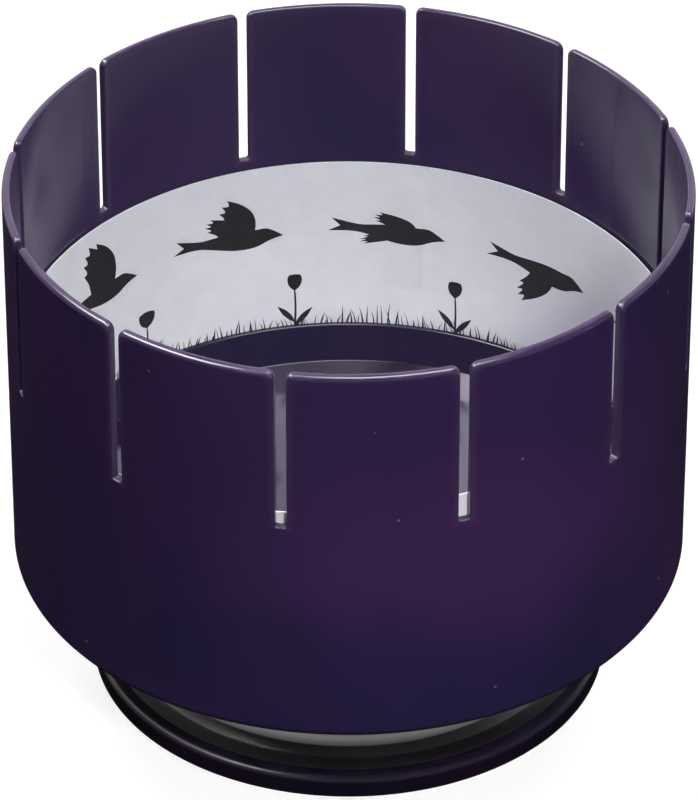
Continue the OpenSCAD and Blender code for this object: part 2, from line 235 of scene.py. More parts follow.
def at_side(v):
    return abs(abs(v.co.x) - mm(cell_half)) < 1e-6

def at_bottom(v):
    return abs(v.co.z - mm(cell_low)) < 1e-6

ends = [f for f in cell.faces if all(map(at_side, f.verts)) or all(map(at_bottom, f.verts))]
bmesh.ops.delete(cell, geom=ends, context="FACES_ONLY")
bmesh.ops.recalc_face_normals(cell, faces=cell.faces)
print("flat cell faces:", len(cell.faces), "open ends removed:", len(ends))

# %% [markdown]
# The rim is well rounded and the slots' edges only lightly. A bevel weight on each edge says how much
# of the full rounding it gets, and round the corner the weight falls gradually, so that the wide
# rounding of the rim runs into the narrow one of the slot, as it does in a real mould.

# %% Rounding by weight
weight = cell.edges.layers.float.new("bevel_weight_edge")
rim_round, inner_share, slot_share = 1.5, 0.5, 0.23      # mm, and two shares of it

def on_outline(edge, y):
    """Whether an edge lies at that depth, between a flat face and one of the narrow side faces."""
    return (all(abs(v.co.y - mm(y)) < 1e-7 for v in edge.verts)
            and any(abs(f.normal.y) < 0.5 for f in edge.link_faces)
            and len(edge.link_faces) == 2)

for edge in cell.edges:
    for y, full in ((0.0, 1.0), (wall_t, inner_share)):
        if on_outline(edge, y):
            middle_z = sum(v.co.z for v in edge.verts) * 500
            rise = clamp((middle_z - (rim_z - corner)) / corner)
            edge[weight] = slot_share + (full - slot_share) * rise
print("weighted edges:", sum(1 for e in cell.edges if e[weight] > 0))

# %% Apply the rounding
def bevelled(bm, **settings):
    """Puts a bmesh through a bevel modifier, which knows weights, and gives the result back."""
    mesh = bpy.data.meshes.new("flat cell")
    bm.to_mesh(mesh)
    bm.free()
    obj = placed("flat cell", mesh)
    modifier = obj.modifiers.new("bevel", "BEVEL")
    for key, value in settings.items():
        setattr(modifier, key, value)
    seen = obj.evaluated_get(bpy.context.evaluated_depsgraph_get())
    done = bpy.data.meshes.new_from_object(seen)
    result = bmesh.new()
    result.from_mesh(done)
    bpy.data.objects.remove(obj)
    bpy.data.meshes.remove(mesh)
    bpy.data.meshes.remove(done)
    return result

cell = bevelled(cell, width=mm(rim_round), segments=5, profile=0.5, limit_method="WEIGHT")
print("rounded cell faces:", len(cell.faces))

# %% [markdown]
# Each point of the flat cell now moves to its place on the curve: its distance along the wall becomes
# an angle, and its depth is taken off the radius. Spin in its duplicating form then sets the twelve
# copies round the axis.

# %% Bend and repeat
for v in cell.verts:
    angle = -math.pi / 2 + v.co.x / mm(drum_r)
    radius = mm(drum_r) - v.co.y
    v.co = Vector((radius * math.cos(angle), radius * math.sin(angle), v.co.z))
bmesh.ops.rotate(cell, cent=(0, 0, 0), matrix=Matrix.Rotation(math.radians(slot_turn), 3, "Z"),
                 verts=cell.verts)
bmesh.ops.spin(cell, geom=cell.verts[:] + cell.edges[:] + cell.faces[:], cent=(0, 0, 0),
               axis=(0, 0, 1), angle=2 * math.pi * (slot_count - 1) / slot_count,
               steps=slot_count - 1, use_duplicate=True)
bmesh.ops.remove_doubles(cell, verts=cell.verts, dist=2e-6)
drum = cell
print("wall faces:", len(drum.faces), "open edges:", sum(1 for e in drum.edges if e.is_boundary))

# %% [markdown]
# ## The drum's lower half
# The two open loops at the bottom of the wall are drawn on from height to height: the outer one down
# the wall, in along the sloped corner and under the floor, the inner one down into the groove for the
# strip, over the low ring and across the floor. They meet in the bore for the hub.

# %% Draw the loops on
def draw_on(bm, edges, radius, height):
    """Extrudes a ring of edges to a new radius and height, and gives the new ring."""
    new = bmesh.ops.extrude_edge_only(bm, edges=edges)["geom"]
    verts = verts_of(new)
    share = mm(radius) / verts[0].co.xy.length
    bmesh.ops.scale(bm, vec=(share, share, 1), verts=verts)
    bmesh.ops.translate(bm, vec=(0, 0, mm(height) - verts[0].co.z), verts=verts)
    found = set(verts)
    return [g for g in new if isinstance(g, bmesh.types.BMEdge) and found.issuperset(g.verts)]

slope_z, slope_r = 37.5, 83.4            # the sloped corner's upper end, and its lower one
groove_z, ring_z = 39.0, 47.0            # the groove's bottom and the low ring's top
ring_outer, ring_inner, floor_r, bore_r = 86.1, 84.9, 83.5, 9.05
outer = ring_edges(drum, drum_r, cell_low)
for r, z in ((drum_r, slope_z), (slope_r, drum_z), (bore_r, drum_z)):
    outer = draw_on(drum, outer, r, z)
inner = ring_edges(drum, inner_r, cell_low)
for r, z in ((inner_r, groove_z), (ring_outer, groove_z), (ring_outer, ring_z),
             (ring_inner, ring_z), (floor_r, floor_z), (bore_r, floor_z)):
    inner = draw_on(drum, inner, r, z)
bmesh.ops.bridge_loops(drum, edges=outer + inner)
outward(drum)
print("volume in cm3:", round(drum.calc_volume(signed=True) * 1e6, 1),
      "open edges left:", sum(1 for e in drum.edges if not e.is_manifold))

# %% Round the lower edges
for r, z, radius, segments in (
        (drum_r, slope_z, 1.6, 4), (slope_r, drum_z, 0.8, 3), (ring_outer, ring_z, 0.55, 4),
        (ring_inner, ring_z, 0.55, 4), (floor_r, floor_z, 0.3, 2), (inner_r, groove_z, 0.2, 2),
        (ring_outer, groove_z, 0.2, 2)):
    print("ring", r, z, "edges rounded:", round_ring(drum, r, z, radius, segments))

# %% [markdown]
# Under the floor stand four short posts, into which the hub is screwed. They are shells of their own
# in the same mesh, let a little way into the floor.

# %% Hub posts
post_r, post_h, post_away, post_z = 3.5, 4.2, 18, 31.6       # post_z is the height of their middle
for i in range(4):
    angle = math.radians(45 + 90 * i)
    place = Matrix.Translation((mm(post_away) * math.cos(angle), mm(post_away) * math.sin(angle),
                                mm(post_z)))
    post = bmesh.ops.create_cone(drum, cap_ends=True, segments=32, radius1=mm(post_r),
                                 radius2=mm(post_r), depth=mm(post_h), matrix=place)["verts"]
    low_rim = [e for e in {e for v in post for e in v.link_edges}
               if all(abs(v.co.z - mm(post_z - post_h / 2)) < 1e-5 for v in e.verts)]
    round_edges(drum, low_rim, 0.3, 2)
print("drum faces with its posts:", len(drum.faces))

# %% [markdown]
# Fingers wear the rounded edges of the rim and the slots. Only the roundings have edges as short as
# this, so an attribute can mark their points, and the finish later paints them paler: in part wear,
# in part a painted highlight along the rim.

# %% Mark the rounded edges, worn and given a painted highlight, and finish the drum
short_edge = mm(0.45)
rub_and_sheen = drum.verts.layers.float.new("rub_and_sheen")
for v in drum.verts:
    shortest = min((e.calc_length() for e in v.link_edges), default=1.0)
    v[rub_and_sheen] = 1.0 if shortest < short_edge and v.co.z > mm(slot_z - 2) else 0.0
drum = piece(drum, "slotted_drum", "drum", ["drum"])

# %% [markdown]
# ## The foot
# The foot is a pedestal: a neck that flares out, on a rounded flange. It is turned from one closed
# outline that also gives its inside, so that the underside is right too. Only the flare is drawn as
# an arc, because it is a hollow curve between two straight lines.

# %% Foot
shell = 2.5                                                # the foot's wall
sole_r, sole_z, lip_r, lip_z = 69.35, 0.8, 70, 7.5
neck_r, flare_arc, top_z, well_r, well_z, stud_r = 58, 8, 32, 28, 12, 2.6
flare = [(neck_r + flare_arc - flare_arc * math.cos(a), lip_z + flare_arc - flare_arc * math.sin(a))
         for a in [math.radians(90 - 2.5 * i) for i in range(37)]]
outside = [(sole_r, sole_z), (lip_r, lip_z)] + flare + [(neck_r, top_z)]
well = [(well_r, top_z), (well_r, well_z), (stud_r, well_z), (stud_r, well_z - shell)]
inside = [(well_r + shell, well_z - shell), (well_r + shell, top_z - shell),
          (neck_r - shell, top_z - shell), (neck_r - shell, 14), (sole_r - shell, 4.6),
          (sole_r - shell, sole_z)]
foot = turned(outside + well + inside, 256)
for r, z, radius, segments in (
        (lip_r, lip_z, 2.2, 8), (sole_r, sole_z, 0.4, 3), (neck_r, top_z, 2.0, 5),
        (well_r, top_z, 0.6, 3), (sole_r - shell, sole_z, 0.3, 2)):
    print("ring", r, z, "edges rounded:", round_ring(foot, r, z, radius, segments))
foot = piece(foot, "pedestal_foot", "stand", ["foot_body"])

# %% [markdown]
# ## The hub cap and the rubber feet
# The cap is a shallow dome that hides the end of the spindle. The four feet are discs with a soft
# edge and a shallow hollow, turned on the axis and then moved out to their places.

# %% Hub cap
def dome(radius, top, half_width):
    """Points of a dome's outline, from its top to its edge."""
    far, count = math.asin(half_width / radius), 12
    return [(radius * math.sin(far * i / count), top - radius + radius * math.cos(far * i / count))
            for i in range(count + 1)]

cap_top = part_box("hub_cap")[1].z * 1000
cap_r, cap_hollow_r, cap_arc, cap_t = 14, 12.6, 28, 1.6
upper = dome(cap_arc, cap_top, cap_r)
lower = dome(cap_arc - cap_t, cap_top - cap_t, cap_hollow_r)
cap = turned(upper + [(cap_r, floor_z), (cap_hollow_r, floor_z)] + lower[::-1], 128)
edge_r, edge_z = upper[-1]
print("cap edges rounded:", round_ring(cap, edge_r, edge_z, 1.0, 5),
      round_ring(cap, cap_r, floor_z, 0.2, 2))
cap = piece(cap, "domed_cap", "drum", ["hub_cap"])

# %% Rubber feet
pad_r, pad_h, hollow_r, hollow_h = 6, 2, 4.0, 0.25
pads = []
for name in ("front_right", "back_right", "back_left", "front_left"):
    low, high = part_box("rubber_foot_" + name)
    pad = turned([(0, hollow_h), (hollow_r - 0.4, hollow_h), (hollow_r, 0), (pad_r, 0),
                  (pad_r, pad_h), (0, pad_h)], 64)
    round_ring(pad, pad_r, 0, 0.5, 4)
    middle = (low + high) / 2
    bmesh.ops.translate(pad, vec=(middle.x, middle.y, 0), verts=pad.verts)
    pads.append(piece(pad, "pad_" + name, "stand", ["rubber_foot_" + name]))

# %% [markdown]
# ## The picture strip
# The strip is a band of stiff paper, longer than the way round, so its ends lap. It lies against the
# wall behind the low ring, and its outer end has ridden up a little. So it isn't a ring but a slow
# spiral, and `on_strip` says where a point of the flat band goes: how far along it (in degrees), how
# high, and how deep in the paper.

# %% The way of the strip
strip_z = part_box("picture_strip")[0].z * 1000
strip_h, strip_t, strip_turn, lap = 60.4, 0.35, 380, 20
strip_r, strip_gap, strip_end = 87.4, 0.06, 25   # strip_end is the outer end's angle from the front
end_lift, lift_span = 9.7, 91.0                  # how far the end rides up, and over how many degrees
lap_step, step_start, step_span = 0.5, 40, 280   # how far it moves inwards, from where, over how many
wave_depth, waves = 0.05, 5                      # it isn't quite flat

def on_strip(along, height, depth):
    """Where a point goes: degrees from the outer end, mm above the lower edge, mm into the paper."""
    angle = math.radians(-90 + strip_end - along)
    step = lap_step * clamp((along - step_start) / step_span)
    wave = wave_depth * math.sin(math.radians(along) * waves) * height / strip_h
    radius = strip_r - step - strip_gap - wave - depth
    rise = end_lift * max(0.0, 1 - along / lift_span)
    return Vector((mm(radius) * math.cos(angle), mm(radius) * math.sin(angle),
                   mm(strip_z + height + rise)))

strip = bmesh.new()
bmesh.ops.create_grid(strip, x_segments=strip_turn, y_segments=6, size=0.5)
pull(strip, strip.faces[:], (0, 0, 1))
for v in strip.verts:
    v.co = on_strip((v.co.x + 0.5) * strip_turn, (v.co.y + 0.5) * strip_h, v.co.z * strip_t)
outward(strip)
strip = piece(strip, "paper_strip", "strip", ["picture_strip"], even_shading=False)

# %% [markdown]
# ## The print
# Twelve pictures make one turn: a bird beats its wings once while it rises and sinks, and a flower in
# the meadow under it opens and closes. Each picture is a silhouette, so a flat outline of a few points
# is enough: a bevel on its corners makes the curves, and the points that must stay sharp, such as the
# beak, are left out of it. The ink is a skin of its own, a few hundredths of a millimetre proud.

# %% Ink helpers
ink = bmesh.new()
ink_back, ink_front, layer_t = strip_t - 0.02, strip_t + 0.03, 0.004
per_degree = math.radians(87.0)      # mm along the paper, at a radius of 87 mm

def silhouette(points, sharp=(), soften=38):
    """A filled outline in mm along and mm up, softened at the corners not named as sharp."""
    bm = bmesh.new()
    verts = [bm.verts.new((u, v, 0)) for u, v in points]
    bm.faces.new(verts)
    if soften:
        soft = [v for i, v in enumerate(verts) if i not in sharp]
        bmesh.ops.bevel(bm, geom=soft, offset=soften, offset_type="PERCENT", segments=3,
                        profile=0.5, affect="VERTICES", material=-1)
    return bm

def print_on(bm, layer=0):
    """Lays a flat shape on the strip as ink, cut at every degree so that it follows the curve."""
    low = min(v.co.x for v in bm.verts) / per_degree
    high = max(v.co.x for v in bm.verts) / per_degree
    for degree in range(math.ceil(low), math.floor(high) + 1):
        cut(bm, (degree * per_degree, 0, 0), (1, 0, 0))
    pull(bm, bm.faces[:], (0, 0, 1))
    for v in bm.verts:
        depth = ink_front + layer_t * layer if v.co.z > 0.5 else ink_back
        v.co = on_strip(v.co.x / per_degree, v.co.y, depth)
    outward(bm)
    part = bpy.data.meshes.new("ink part")
    bm.to_mesh(part)
    bm.free()
    ink.from_mesh(part)
    bpy.data.meshes.remove(part)

def moved(points, u, v, turn, size):
    c, s = math.cos(turn) * size, math.sin(turn) * size
    return [(u + x * c - y * s, v + x * s + y * c) for x, y in points]

# %% The bird
bird_body = [(12.4, 1.0), (10.2, 2.2), (8.2, 3.1), (5.6, 2.6), (1.5, 2.5), (-4.5, 1.5), (-8.0, 1.0),
             (-14.2, 2.2), (-12.0, 0.3), (-14.6, -1.3), (-8.0, -0.7), (-3.0, -1.9), (2.0, -2.7),
             (6.4, -2.1), (9.4, -0.1)]
wing = [(0, 3.0), (5, 3.9), (9.5, 3.4), (13.5, 1.0), (16.2, -2.4), (13.4, -2.0), (14.0, -4.0),
        (11.2, -3.0), (11.4, -4.9), (8.6, -3.5), (8.2, -5.0), (5.2, -3.6), (2.0, -3.2), (0, -3.0)]
beak_and_tail, feather_tips = (0, 7, 8, 9), (4, 6, 8, 10)

def wing_points(beat, root, size):
    """The wing as seen from the side: it shortens as it passes the level of the body."""
    up = math.sin(beat) * (1.0 if beat > 0 else 0.8)
    back = 0.34 - 0.22 * abs(up)
    return [(root[0] + c * 0.95 - s * back * size, root[1] + s * up * size + c * 0.12)
            for s, c in wing]

def bird(along, height, phase):
    """The far wing beats a little later than the near one, and never hides behind the body."""
    swing, lag, least, bird_size = math.radians(82), 0.35, 0.3, 1.22
    beat = swing * math.sin(phase)
    late = swing * math.sin(phase - lag)
    late = late if abs(late) > least else math.copysign(least, late)
    tilt = math.radians(7) * math.cos(phase)
    shapes = ((bird_body, beak_and_tail), (wing_points(beat, (0.6, 1.0), 1.0), feather_tips),
              (wing_points(late, (2.6, 1.2), 0.86), feather_tips))
    for layer, (shape, sharp) in enumerate(shapes):
        print_on(silhouette(moved(shape, along, height, tilt, bird_size), sharp), layer)

# %% The flower and the grass
petal = [(0, 0), (1.25, 2.0), (1.1, 4.4), (0, 5.9), (-1.1, 4.4), (-1.25, 2.0)]
leaf = [(0, 0), (1.6, 1.0), (3.6, 3.0), (5.0, 6.0), (2.4, 4.4), (0.6, 2.2)]

def flower(along, height, phase):
    """A stem, two leaves and seven petals, which spread as the flower opens."""
    opening = 0.14 + 0.86 * (0.5 - 0.5 * math.cos(phase))
    stem = 12.0 + 2.0 * opening
    stalk = [(along - 0.35, height), (along + 0.35, height), (along + 0.55, height + stem / 2),
             (along + 0.25, height + stem), (along - 0.25, height + stem), (along, height + stem / 2)]
    print_on(silhouette(stalk, (0, 1)), 1)
    for side, sharp, up in ((-1, (2, 5), 1.2), (1, (0, 3), 0)):
        shape = [(along + side * x, height + y + up) for x, y in leaf][::side]
        print_on(silhouette(shape, sharp), 2)
    for i in range(7):
        turn = (i - 3) / 3 * math.radians(96) * opening
        print_on(silhouette(moved(petal, along, height + stem - 0.5, turn, 1.0), (0,)), 3 + i % 3)

def blade(along, height, tall, lean, wide):
    """A blade of grass with a leaning tip."""
    return silhouette([(along - wide, height), (along + wide, height),
                       (along + wide * 0.7 + lean * 0.45, height + tall * 0.55),
                       (along + lean, height + tall),
                       (along - wide * 0.5 + lean * 0.35, height + tall * 0.5)], soften=0)

# %% Print the twelve pictures
rng = random.Random(12)
pictures, pitch, blades = 12, 30.0, 430
soil_z, ground, margin = 1.2, 7.2, 1.2
for i in range(pictures):
    centre = (lap + 13 + i * pitch) * per_degree
    phase = 2 * math.pi * (i + 0.5) / pictures
    bird(centre, 35.0 + 3.2 * math.sin(phase - 1.2), phase)
    aside = 12 if i < pictures - 1 else 3        # the last flower keeps off the strip's end
    flower(centre + aside * per_degree, ground - 0.4, phase + math.pi)
start, end = lap * per_degree, strip_turn * per_degree
print_on(silhouette([(start, soil_z), (end, soil_z), (end, ground), (start, ground)], soften=0))
for i in range(blades):
    way = (strip_turn - lap - 2 * margin) * (i + rng.random() * 0.8) / blades
    along = (lap + margin + way) * per_degree
    tuft = 0.5 + 0.5 * math.sin(along / 7.5) * math.sin(along / 19.0 + 1.0)
    tall = rng.uniform(1.6, 3.0) + 6.4 * tuft * rng.random()
    lean, wide = rng.uniform(-1.7, 1.7), rng.uniform(0.16, 0.32)
    print_on(blade(along, ground - 0.6, tall, lean, wide), 4)
ink = piece(ink, "strip_print", "strip", even_shading=False)

# %% [markdown]
# ## Helpers for finishes
# A finish is a small network of nodes that ends in one shader. Effects that several finishes share are
# node groups: each is made once, with named inputs, and set differently wherever it is used.

# %% Node helpers
VECTOR, FLOAT, COLOR = "NodeSocketVector", "NodeSocketFloat", "NodeSocketColor"

def node(tree, kind, inputs=(), **settings):
    """Adds a node, sets its options, and sets or connects its inputs."""
    new = tree.nodes.new(kind)
    for key, value in settings.items():
        setattr(new, key, value)
    for key, value in dict(inputs).items():
        if isinstance(value, bpy.types.NodeSocket):
            tree.links.new(value, new.inputs[key])
        else:
            new.inputs[key].default_value = value
    return new

def group(name, inputs, outputs):
    """Starts a node group, and gives its tree and the nodes of its inputs and outputs."""
    tree = bpy.data.node_groups.new(name, "ShaderNodeTree")
    for label, kind, value in inputs:
        socket = tree.interface.new_socket(name=label, in_out="INPUT", socket_type=kind)
        if value is not None:
            socket.default_value = value
    for label, kind in outputs:
        tree.interface.new_socket(name=label, in_out="OUTPUT", socket_type=kind)
    return tree, tree.nodes.new("NodeGroupInput"), tree.nodes.new("NodeGroupOutput")

def use(tree, name, inputs):
    return node(tree, "ShaderNodeGroup", inputs, node_tree=bpy.data.node_groups[name])

# %% [markdown]
# A few nodes come up again and again, so each has a short name of its own: arithmetic on two or three
# values, noise, a value moved from one range to another, and a mix. The sockets of a mix share their
# names, so they are picked by their place.

# %% Short names for common nodes
def maths(tree, operation, *values):
    return node(tree, "ShaderNodeMath", dict(enumerate(values)), operation=operation).outputs[0]

def noise(tree, vector, scale, detail, rough=0.5):
    return node(tree, "ShaderNodeTexNoise", {"Vector": vector, "Scale": scale, "Detail": detail,
                                             "Roughness": rough}).outputs["Fac"]

def ramp(tree, value, start, end, low=0.0, high=1.0, kind="LINEAR"):
    return node(tree, "ShaderNodeMapRange", {"Value": value, "From Min": start, "From Max": end,
                                             "To Min": low, "To Max": high},
                interpolation_type=kind).outputs["Result"]

def smooth(tree, value, start, end, low=0.0, high=1.0):
    return ramp(tree, value, start, end, low, high, "SMOOTHSTEP")

def mix_value(tree, factor, a, b):
    return node(tree, "ShaderNodeMix", {0: factor, 2: a, 3: b}).outputs[0]

def mix_colour(tree, factor, a, b):
    return node(tree, "ShaderNodeMix", {0: factor, 6: a, 7: b}, data_type="RGBA").outputs[2]

# %% [markdown]
# The plastic isn't one even purple. Broad, soft noise drifts it between a bluer and a redder violet:
# in part the plastic's own uneven tone, in part a painted reflection of the faint, mottled light on
# the wall.

# %% Group: drifting colour, in part a painted reflection
tree, given, out = group(
    "drifting colour and painted reflection",
    [("Vector", VECTOR, None), ("Size", FLOAT, 12.0), ("Base", COLOR, (0.03, 0.01, 0.06, 1)),
     ("Cool", COLOR, (0.02, 0.015, 0.07, 1)), ("Warm", COLOR, (0.04, 0.01, 0.06, 1))],
    [("Color", COLOR)])
place, size = given.outputs["Vector"], given.outputs["Size"]
shifted = node(tree, "ShaderNodeVectorMath", {0: place, 1: (3.1, 1.7, 0.6)}, operation="ADD")
cool_share = smooth(tree, noise(tree, place, size, 2.0, 0.45), 0.42, 0.66)
warm_share = smooth(tree, noise(tree, shifted.outputs["Vector"], size, 2.0, 0.45), 0.45, 0.68)
cooled = mix_colour(tree, cool_share, given.outputs["Base"], given.outputs["Cool"])
tree.links.new(mix_colour(tree, warm_share, cooled, given.outputs["Warm"]), out.inputs["Color"])
print("group:", tree.name)

# %% [markdown]
# Handling leaves hairline scratches, mostly round the drum. Noise that is squeezed along one direction
# turns into streaks, and only its peaks are kept.

# %% Group: hairline scratches
tree, given, out = group("hairline scratches", [("Vector", VECTOR, None), ("Amount", FLOAT, 0.5)],
                         [("Mask", FLOAT)])
peaks = []
for turn, scale in (((0.3, 0.2, 0.5), (60, 60, 2600)), ((1.1, 0.4, 0.9), (2400, 70, 70))):
    squeezed = node(tree, "ShaderNodeMapping", {"Vector": given.outputs["Vector"],
                                                "Rotation": turn, "Scale": scale})
    peaks.append(ramp(tree, noise(tree, squeezed.outputs["Vector"], 1.0, 1.0), 0.70, 0.78))
most = maths(tree, "MAXIMUM", *peaks)
tree.links.new(maths(tree, "MULTIPLY", most, given.outputs["Amount"]), out.inputs["Mask"])
print("group:", tree.name)

# %% [markdown]
# Dust lies in specks. A pattern of cells gives each speck its place, and a cell's random colour says
# whether it has one.

# %% Group: dust specks
tree, given, out = group(
    "dust specks",
    [("Vector", VECTOR, None), ("Cell size", FLOAT, 160.0), ("Speck", FLOAT, 0.07),
     ("Share", FLOAT, 0.08)],
    [("Mask", FLOAT)])
cells = node(tree, "ShaderNodeTexVoronoi", {"Vector": given.outputs["Vector"],
                                            "Scale": given.outputs["Cell size"]})
pick = node(tree, "ShaderNodeSeparateColor", {"Color": cells.outputs["Color"]})
chosen = maths(tree, "LESS_THAN", pick.outputs[0], given.outputs["Share"])
close = maths(tree, "LESS_THAN", cells.outputs["Distance"], given.outputs["Speck"])
tree.links.new(maths(tree, "MULTIPLY", chosen, close), out.inputs["Mask"])
print("group:", tree.name)

# %% [markdown]
# A polished mould still leaves a faint, slow ripple in the surface, and fingers dull it in patches.

# %% Group: moulded skin
tree, given, out = group(
    "moulded skin",
    [("Vector", VECTOR, None), ("Ripple size", FLOAT, 240.0), ("Patch size", FLOAT, 26.0)],
    [("Height", FLOAT), ("Patches", FLOAT)])
place = given.outputs["Vector"]
ripple = noise(tree, place, given.outputs["Ripple size"], 2.0, 0.4)
patch = noise(tree, place, given.outputs["Patch size"], 4.0, 0.6)
tree.links.new(ripple, out.inputs["Height"])
tree.links.new(patch, out.inputs["Patches"])
print("group:", tree.name)

# %% [markdown]
# ## Glossy plastic
# Drum, cap and foot are glossy mouldings that differ only in colour, gloss and wear, so one function
# sets them all up from the groups above. Three areas get a look of their own: the drum's floor is
# polished, so that the slots show the paper mirrored in it, the low ring is painted darker, a painted
# shade for the shade it lies in, and the flare of the foot is satin black.

# %% Glossy plastic
def start_material(name):
    """A new material: itself, its tree, its shader, and the place on the piece for patterns."""
    material = bpy.data.materials.new(name)
    material.use_nodes = True
    tree = material.node_tree
    place = node(tree, "ShaderNodeTexCoord").outputs["Object"]
    return material, tree, tree.nodes["Principled BSDF"], place

def dress(tree, shader, colour, rough, height, strength, distance):
    """Connects a colour, a roughness and a bump, whose distance is in mm, to the shader."""
    bump = node(tree, "ShaderNodeBump", {"Height": height, "Strength": strength,
                                         "Distance": mm(distance)})
    tree.links.new(colour, shader.inputs["Base Color"])
    tree.links.new(rough, shader.inputs["Roughness"])
    tree.links.new(bump.outputs["Normal"], shader.inputs["Normal"])

dust_grey = (0.12, 0.11, 0.14, 1)

def glossy_plastic(name, base, cool, warm, wear_and_sheen, gloss, ripple=0.03, specular=0.5, ior=1.5):
    """Plastic that drifts between three tones, in part a painted reflection, turns paler on the
    drum's marked roundings, in part wear and in part a painted highlight, and has some dust.
    """
    material, tree, shader, place = start_material(name)
    aside = node(tree, "ShaderNodeVectorMath", {0: place, 1: (0.06, 0, 0.01)}, operation="ADD")
    drift = use(tree, "drifting colour and painted reflection", {"Vector": aside.outputs["Vector"], "Size": 11.0,
                                          "Base": base, "Cool": cool, "Warm": warm})
    hair = use(tree, "hairline scratches", {"Vector": place, "Amount": 0.05}).outputs["Mask"]
    dust = use(tree, "dust specks", {"Vector": place}).outputs["Mask"]
    skin = use(tree, "moulded skin", {"Vector": place})
    # The drum's marked roundings turn paler in patches: in part wear, in part a painted highlight on
    # the rim.
    rub_and_sheen = node(tree, "ShaderNodeAttribute", attribute_name="rub_and_sheen")
    rub_and_sheen_patches = maths(tree, "MULTIPLY", rub_and_sheen.outputs["Fac"], skin.outputs["Patches"])
    pale = tuple(min(1.0, 1.5 * c) for c in wear_and_sheen[:3]) + (1,)
    colour = mix_colour(tree, rub_and_sheen_patches, drift.outputs["Color"], wear_and_sheen)
    colour = mix_colour(tree, hair, colour, pale)
    colour = mix_colour(tree, dust, colour, dust_grey)
    dull = ramp(tree, skin.outputs["Patches"], 0.3, 0.8, gloss, gloss + 0.09)
    rough = maths(tree, "MULTIPLY_ADD", hair, 0.3, dull)
    dress(tree, shader, colour, rough, skin.outputs["Height"], ripple, 0.4)
    shader.inputs["IOR"].default_value = ior
    shader.inputs["Specular IOR Level"].default_value = specular
    return material

purple = glossy_plastic(
    "deep purple plastic", (0.029, 0.0140, 0.058, 1), (0.018, 0.0125, 0.050, 1),
    (0.041, 0.0165, 0.070, 1), (0.055, 0.034, 0.082, 1), 0.18, specular=0.6)
floor_purple = glossy_plastic(
    "polished floor plastic", (0.014, 0.006, 0.026, 1), (0.012, 0.006, 0.026, 1),
    (0.017, 0.006, 0.027, 1), (0.085, 0.055, 0.12, 1), 0.09, ripple=0.015, specular=1.0, ior=2.5)
floor_shader = floor_purple.node_tree.nodes["Principled BSDF"]
floor_shader.inputs["Specular Tint"].default_value = (0.93, 0.86, 1.0, 1)
# The low ring is the wall's own purple made darker: painted shade, for the shade low inside the drum.
ring_purple_painted_shade = glossy_plastic(
    "low ring plastic, painted shade", (0.015, 0.007, 0.030, 1), (0.010, 0.007, 0.028, 1),
    (0.020, 0.007, 0.032, 1), (0.055, 0.034, 0.082, 1), 0.20)
black_purple = glossy_plastic(
    "black purple plastic", (0.007, 0.0045, 0.012, 1), (0.006, 0.005, 0.015, 1),
    (0.011, 0.0045, 0.016, 1), (0.03, 0.024, 0.04, 1), 0.30)
satin_black = glossy_plastic(
    "satin black plastic", (0.003, 0.003, 0.0035, 1), (0.003, 0.003, 0.004, 1),
    (0.004, 0.003, 0.004, 1), (0.02, 0.02, 0.02, 1), 0.30, specular=1.0, ior=3.0)
cap_look = glossy_plastic(
    "cap plastic", (0.009, 0.006, 0.016, 1), (0.007, 0.007, 0.02, 1),
    (0.013, 0.006, 0.018, 1), (0.04, 0.03, 0.05, 1), 0.22)
print("glossy plastics:", 6)

# %% Give each area its plastic
for obj, plastics in ((drum, (purple, floor_purple, ring_purple_painted_shade)), (cap, (cap_look,)),
                      (foot, (black_purple, satin_black))):
    for plastic in plastics:
        obj.data.materials.append(plastic)
ring_zone, ring_top = (mm(83), mm(86.2)), mm(ring_z + 0.5)
flare_zone, flare_low = (mm(57), mm(66.2)), mm(7.4)
# The floor's faces take the polished plastic, and the low ring's faces the darker one, its painted
# shade.
for face in drum.data.polygons:
    if face.normal.z > 0.9 and face.center.z < mm(floor_z + 0.5):
        face.material_index = 1
    elif (ring_zone[0] < face.center.xy.length < ring_zone[1]
          and mm(floor_z) < face.center.z < ring_top):
        face.material_index = 2
for face in foot.data.polygons:
    if flare_zone[0] < face.center.xy.length < flare_zone[1] and face.center.z > flare_low:
        face.material_index = 1
print("glossy pieces:", drum.name, foot.name, cap.name)

# %% [markdown]
# ## Paper and ink
# The strip is a matt, slightly cool card. Fibres show as fine, short streaks in its colour and as a
# faint tooth in its surface. Printing ink is a charcoal that lets some of the fibres through.

# %% Group: paper fibres
tree, given, out = group("paper fibres", [("Vector", VECTOR, None)],
                         [("Tone", FLOAT), ("Height", FLOAT)])
place = given.outputs["Vector"]
cloud = noise(tree, place, 140.0, 4.0, 0.6)
squeezed = node(tree, "ShaderNodeMapping", {"Vector": place, "Scale": (900, 900, 2600)})
fibre = noise(tree, squeezed.outputs["Vector"], 1.0, 3.0)
tone = maths(tree, "MULTIPLY_ADD", fibre, 0.5, maths(tree, "MULTIPLY", cloud, 0.5))
tree.links.new(tone, out.inputs["Tone"])
tree.links.new(fibre, out.inputs["Height"])
print("group:", tree.name)

# %% Paper and ink
pale_dust = (0.4, 0.38, 0.38, 1)

def fibrous(name, dark, light, rough, tooth, specular):
    material, tree, shader, place = start_material(name)
    fibres = use(tree, "paper fibres", {"Vector": place})
    tone = fibres.outputs["Tone"]
    dust = use(tree, "dust specks", {"Vector": place, "Cell size": 220.0, "Speck": 0.05,
                                     "Share": 0.05})
    card = mix_colour(tree, ramp(tree, tone, 0.3, 0.7), dark, light)
    spotted = mix_colour(tree, dust.outputs["Mask"], card, pale_dust)
    dress(tree, shader, spotted, ramp(tree, tone, 0.3, 0.7, rough, rough + 0.08),
          fibres.outputs["Height"], tooth, 0.1)
    shader.inputs["Specular IOR Level"].default_value = specular
    return material

